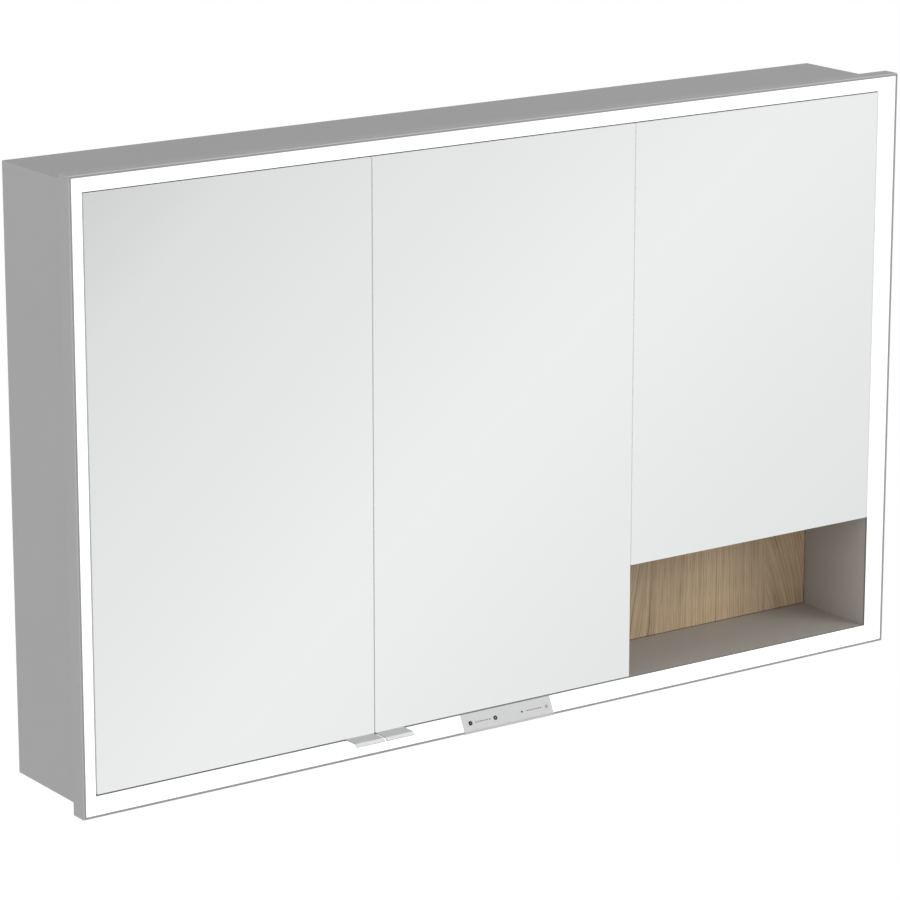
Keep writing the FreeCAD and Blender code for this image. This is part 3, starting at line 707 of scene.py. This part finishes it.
# Painted light: the sloping lip is painted lighter as a highlight, and the cut end and the lip's lower edge
# are painted darker as shade.
lip_highlight = facing_colour(tree, LIP_FACING, [(LIP_STARTS, HANDLE_SATIN), (LIP_FULL, LIP_PAINTED_HIGHLIGHT)])
end_shade = facing_colour(tree, TO_LEFT, [(END_STARTS, PLAIN_WHITE), (END_FULL, CUT_PAINTED_SHADE)])
lip_edge_shade = facing_colour(tree, LIP_EDGE_FACING, [(LIP_STARTS, PLAIN_WHITE), (LIP_FULL, CUT_PAINTED_SHADE)])
cut_shade = multiplied(tree, end_shade, lip_edge_shade)
tinted_by(tree, shader, skin, multiplied(tree, lip_highlight, cut_shade))
for door in ("left", "centre"):
    dress(handle_metal, f"{door}_door_handle")
    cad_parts[f"{door}_door_handle"].visible_glossy = False


# Studio floor: a wide pale floor well below the cabinet, which hangs at its height on a wall.
# It is white to the camera with a faint shadow, plain paint to the light, and clear in mirrors and glass.
def by_ray(tree, lighting, to_camera, in_mirrors):
    """Join three shaders: one for the light, one seen directly, and one seen in mirrors and glass."""
    path = add(tree, "ShaderNodeLightPath").outputs
    direct = add(tree, "ShaderNodeMixShader", {0: path["Is Camera Ray"], 1: lighting, 2: to_camera})
    mirrored = math_node(tree, "MAXIMUM", path["Is Glossy Ray"], path["Is Transmission Ray"])
    joined = add(tree, "ShaderNodeMixShader", {0: mirrored, 1: direct.outputs[0], 2: in_mirrors})
    return joined.outputs[0]


FLOOR_DROP = 1.1
FLOOR_HALF = 40.0
FLOOR_PAINT = grey(0.75)
FLOOR_SHADED = grey(0.25)
FLOOR_GLOW = 0.85
floor_level = cad_low.z - FLOOR_DROP
floor_corners = [
    (-FLOOR_HALF, -FLOOR_HALF, floor_level),
    (FLOOR_HALF, -FLOOR_HALF, floor_level),
    (FLOOR_HALF, FLOOR_HALF, floor_level),
    (-FLOOR_HALF, FLOOR_HALF, floor_level),
]
floor_mesh = bpy.data.meshes.new("studio_floor")
floor_mesh.from_pydata(floor_corners, [], [(0, 1, 2, 3)])
floor = bpy.data.objects.new("studio_floor", floor_mesh)
bpy.context.scene.collection.objects.link(floor)

floor_paint = bpy.data.materials.new("floor_paint")
floor_paint.use_nodes = True
tree = floor_paint.node_tree
tree.nodes.clear()
plain = add(tree, "ShaderNodeBsdfDiffuse", {"Color": FLOOR_PAINT})
shaded = add(tree, "ShaderNodeBsdfDiffuse", {"Color": FLOOR_SHADED})
white = add(tree, "ShaderNodeEmission", {"Color": PLAIN_WHITE, "Strength": FLOOR_GLOW})
seen = add(tree, "ShaderNodeAddShader", {0: shaded.outputs[0], 1: white.outputs[0]})
clear = add(tree, "ShaderNodeBsdfTransparent")
floor_shader = by_ray(tree, plain.outputs[0], seen.outputs[0], clear.outputs[0])
add(tree, "ShaderNodeOutputMaterial", {"Surface": floor_shader})
floor_mesh.materials.append(floor_paint)


# Studio room: an even pale light from all round, and a white background for the camera.
# What mirrors show of the room is a soft slanting sweep between light greys.
def linear_grey(tone):
    """Linear grey from an 8-bit display tone."""
    share = tone / 255
    return ((share + 0.055) / 1.055) ** 2.4


ROOM_LEVEL = 0.59
SWEEP_SLANT = (4.269, 0.0, -3.746)
SWEEP_START = -2.79
SWEEP_TONES = ((0.0, 210), (0.14, 224), (0.32, 231), (0.55, 239), (0.8, 232), (1.0, 225))
MIRROR_SHARE = SILVERED[1]
world = bpy.data.worlds.new("studio_room")
bpy.context.scene.world = world
world.use_nodes = True
tree = world.node_tree
tree.nodes.clear()
direction = add(tree, "ShaderNodeTexCoord").outputs["Generated"]
slant = reach_along(tree, direction, SWEEP_SLANT)
sweep = math_node(tree, "PINGPONG", math_node(tree, "ADD", slant, SWEEP_START), 1.0)
sweep_stops = [(position, grey(linear_grey(tone) / MIRROR_SHARE)) for position, tone in SWEEP_TONES]
graded = add(tree, "ShaderNodeBackground", {"Color": ramp(tree, sweep, sweep_stops), "Strength": 1.0})
lit = add(tree, "ShaderNodeBackground", {"Color": PLAIN_WHITE, "Strength": ROOM_LEVEL})
white = add(tree, "ShaderNodeBackground", {"Color": PLAIN_WHITE, "Strength": 1.0})
room = by_ray(tree, lit.outputs[0], white.outputs[0], graded.outputs[0])
add(tree, "ShaderNodeOutputWorld", {"Surface": room})


# Studio lamps: two large soft squares, one on the left and one high in front on the right.
# Each is given by its place, its side in metres and its watts, and mirrors don't show it.
LAMPS = {
    "left_lamp": ((-4.0, -0.6, 0.6), 2.4, 48.0),
    "right_lamp": ((2.5, -3.3, 1.9), 2.2, 60.0),
}
for name, (place, size, watts) in LAMPS.items():
    lamp_light = bpy.data.lights.new(name, "AREA")
    lamp_light.size = size
    lamp_light.energy = watts
    lamp = bpy.data.objects.new(name, lamp_light)
    lamp.visible_glossy = False
    lamp.location = place
    lamp.rotation_euler = (-Vector(place)).to_track_quat("-Z", "Y").to_euler()
    bpy.context.scene.collection.objects.link(lamp)


# Camera: in front of the cabinet on its left and a little above it, with a long lens.
# It has no shift and no depth of field, so it frames the part from any other side as well.
CAMERA_PLACE = (-2.7475, -3.9792, 1.2159)
CAMERA_TURN = math.radians(34.893)
CAMERA_DOWN = math.radians(14.811)
CAMERA_LENS = 161.27
camera_data = bpy.data.cameras.new("camera")
camera_data.sensor_width = 36.0
camera_data.lens = CAMERA_LENS
camera = bpy.data.objects.new("camera", camera_data)
camera.location = CAMERA_PLACE
level_reach = math.cos(CAMERA_DOWN)
ahead = Vector((
    math.sin(CAMERA_TURN) * level_reach,
    math.cos(CAMERA_TURN) * level_reach,
    -math.sin(CAMERA_DOWN),
))
camera.rotation_euler = ahead.to_track_quat("-Z", "Y").to_euler()
bpy.context.scene.collection.objects.link(camera)
bpy.context.scene.camera = camera
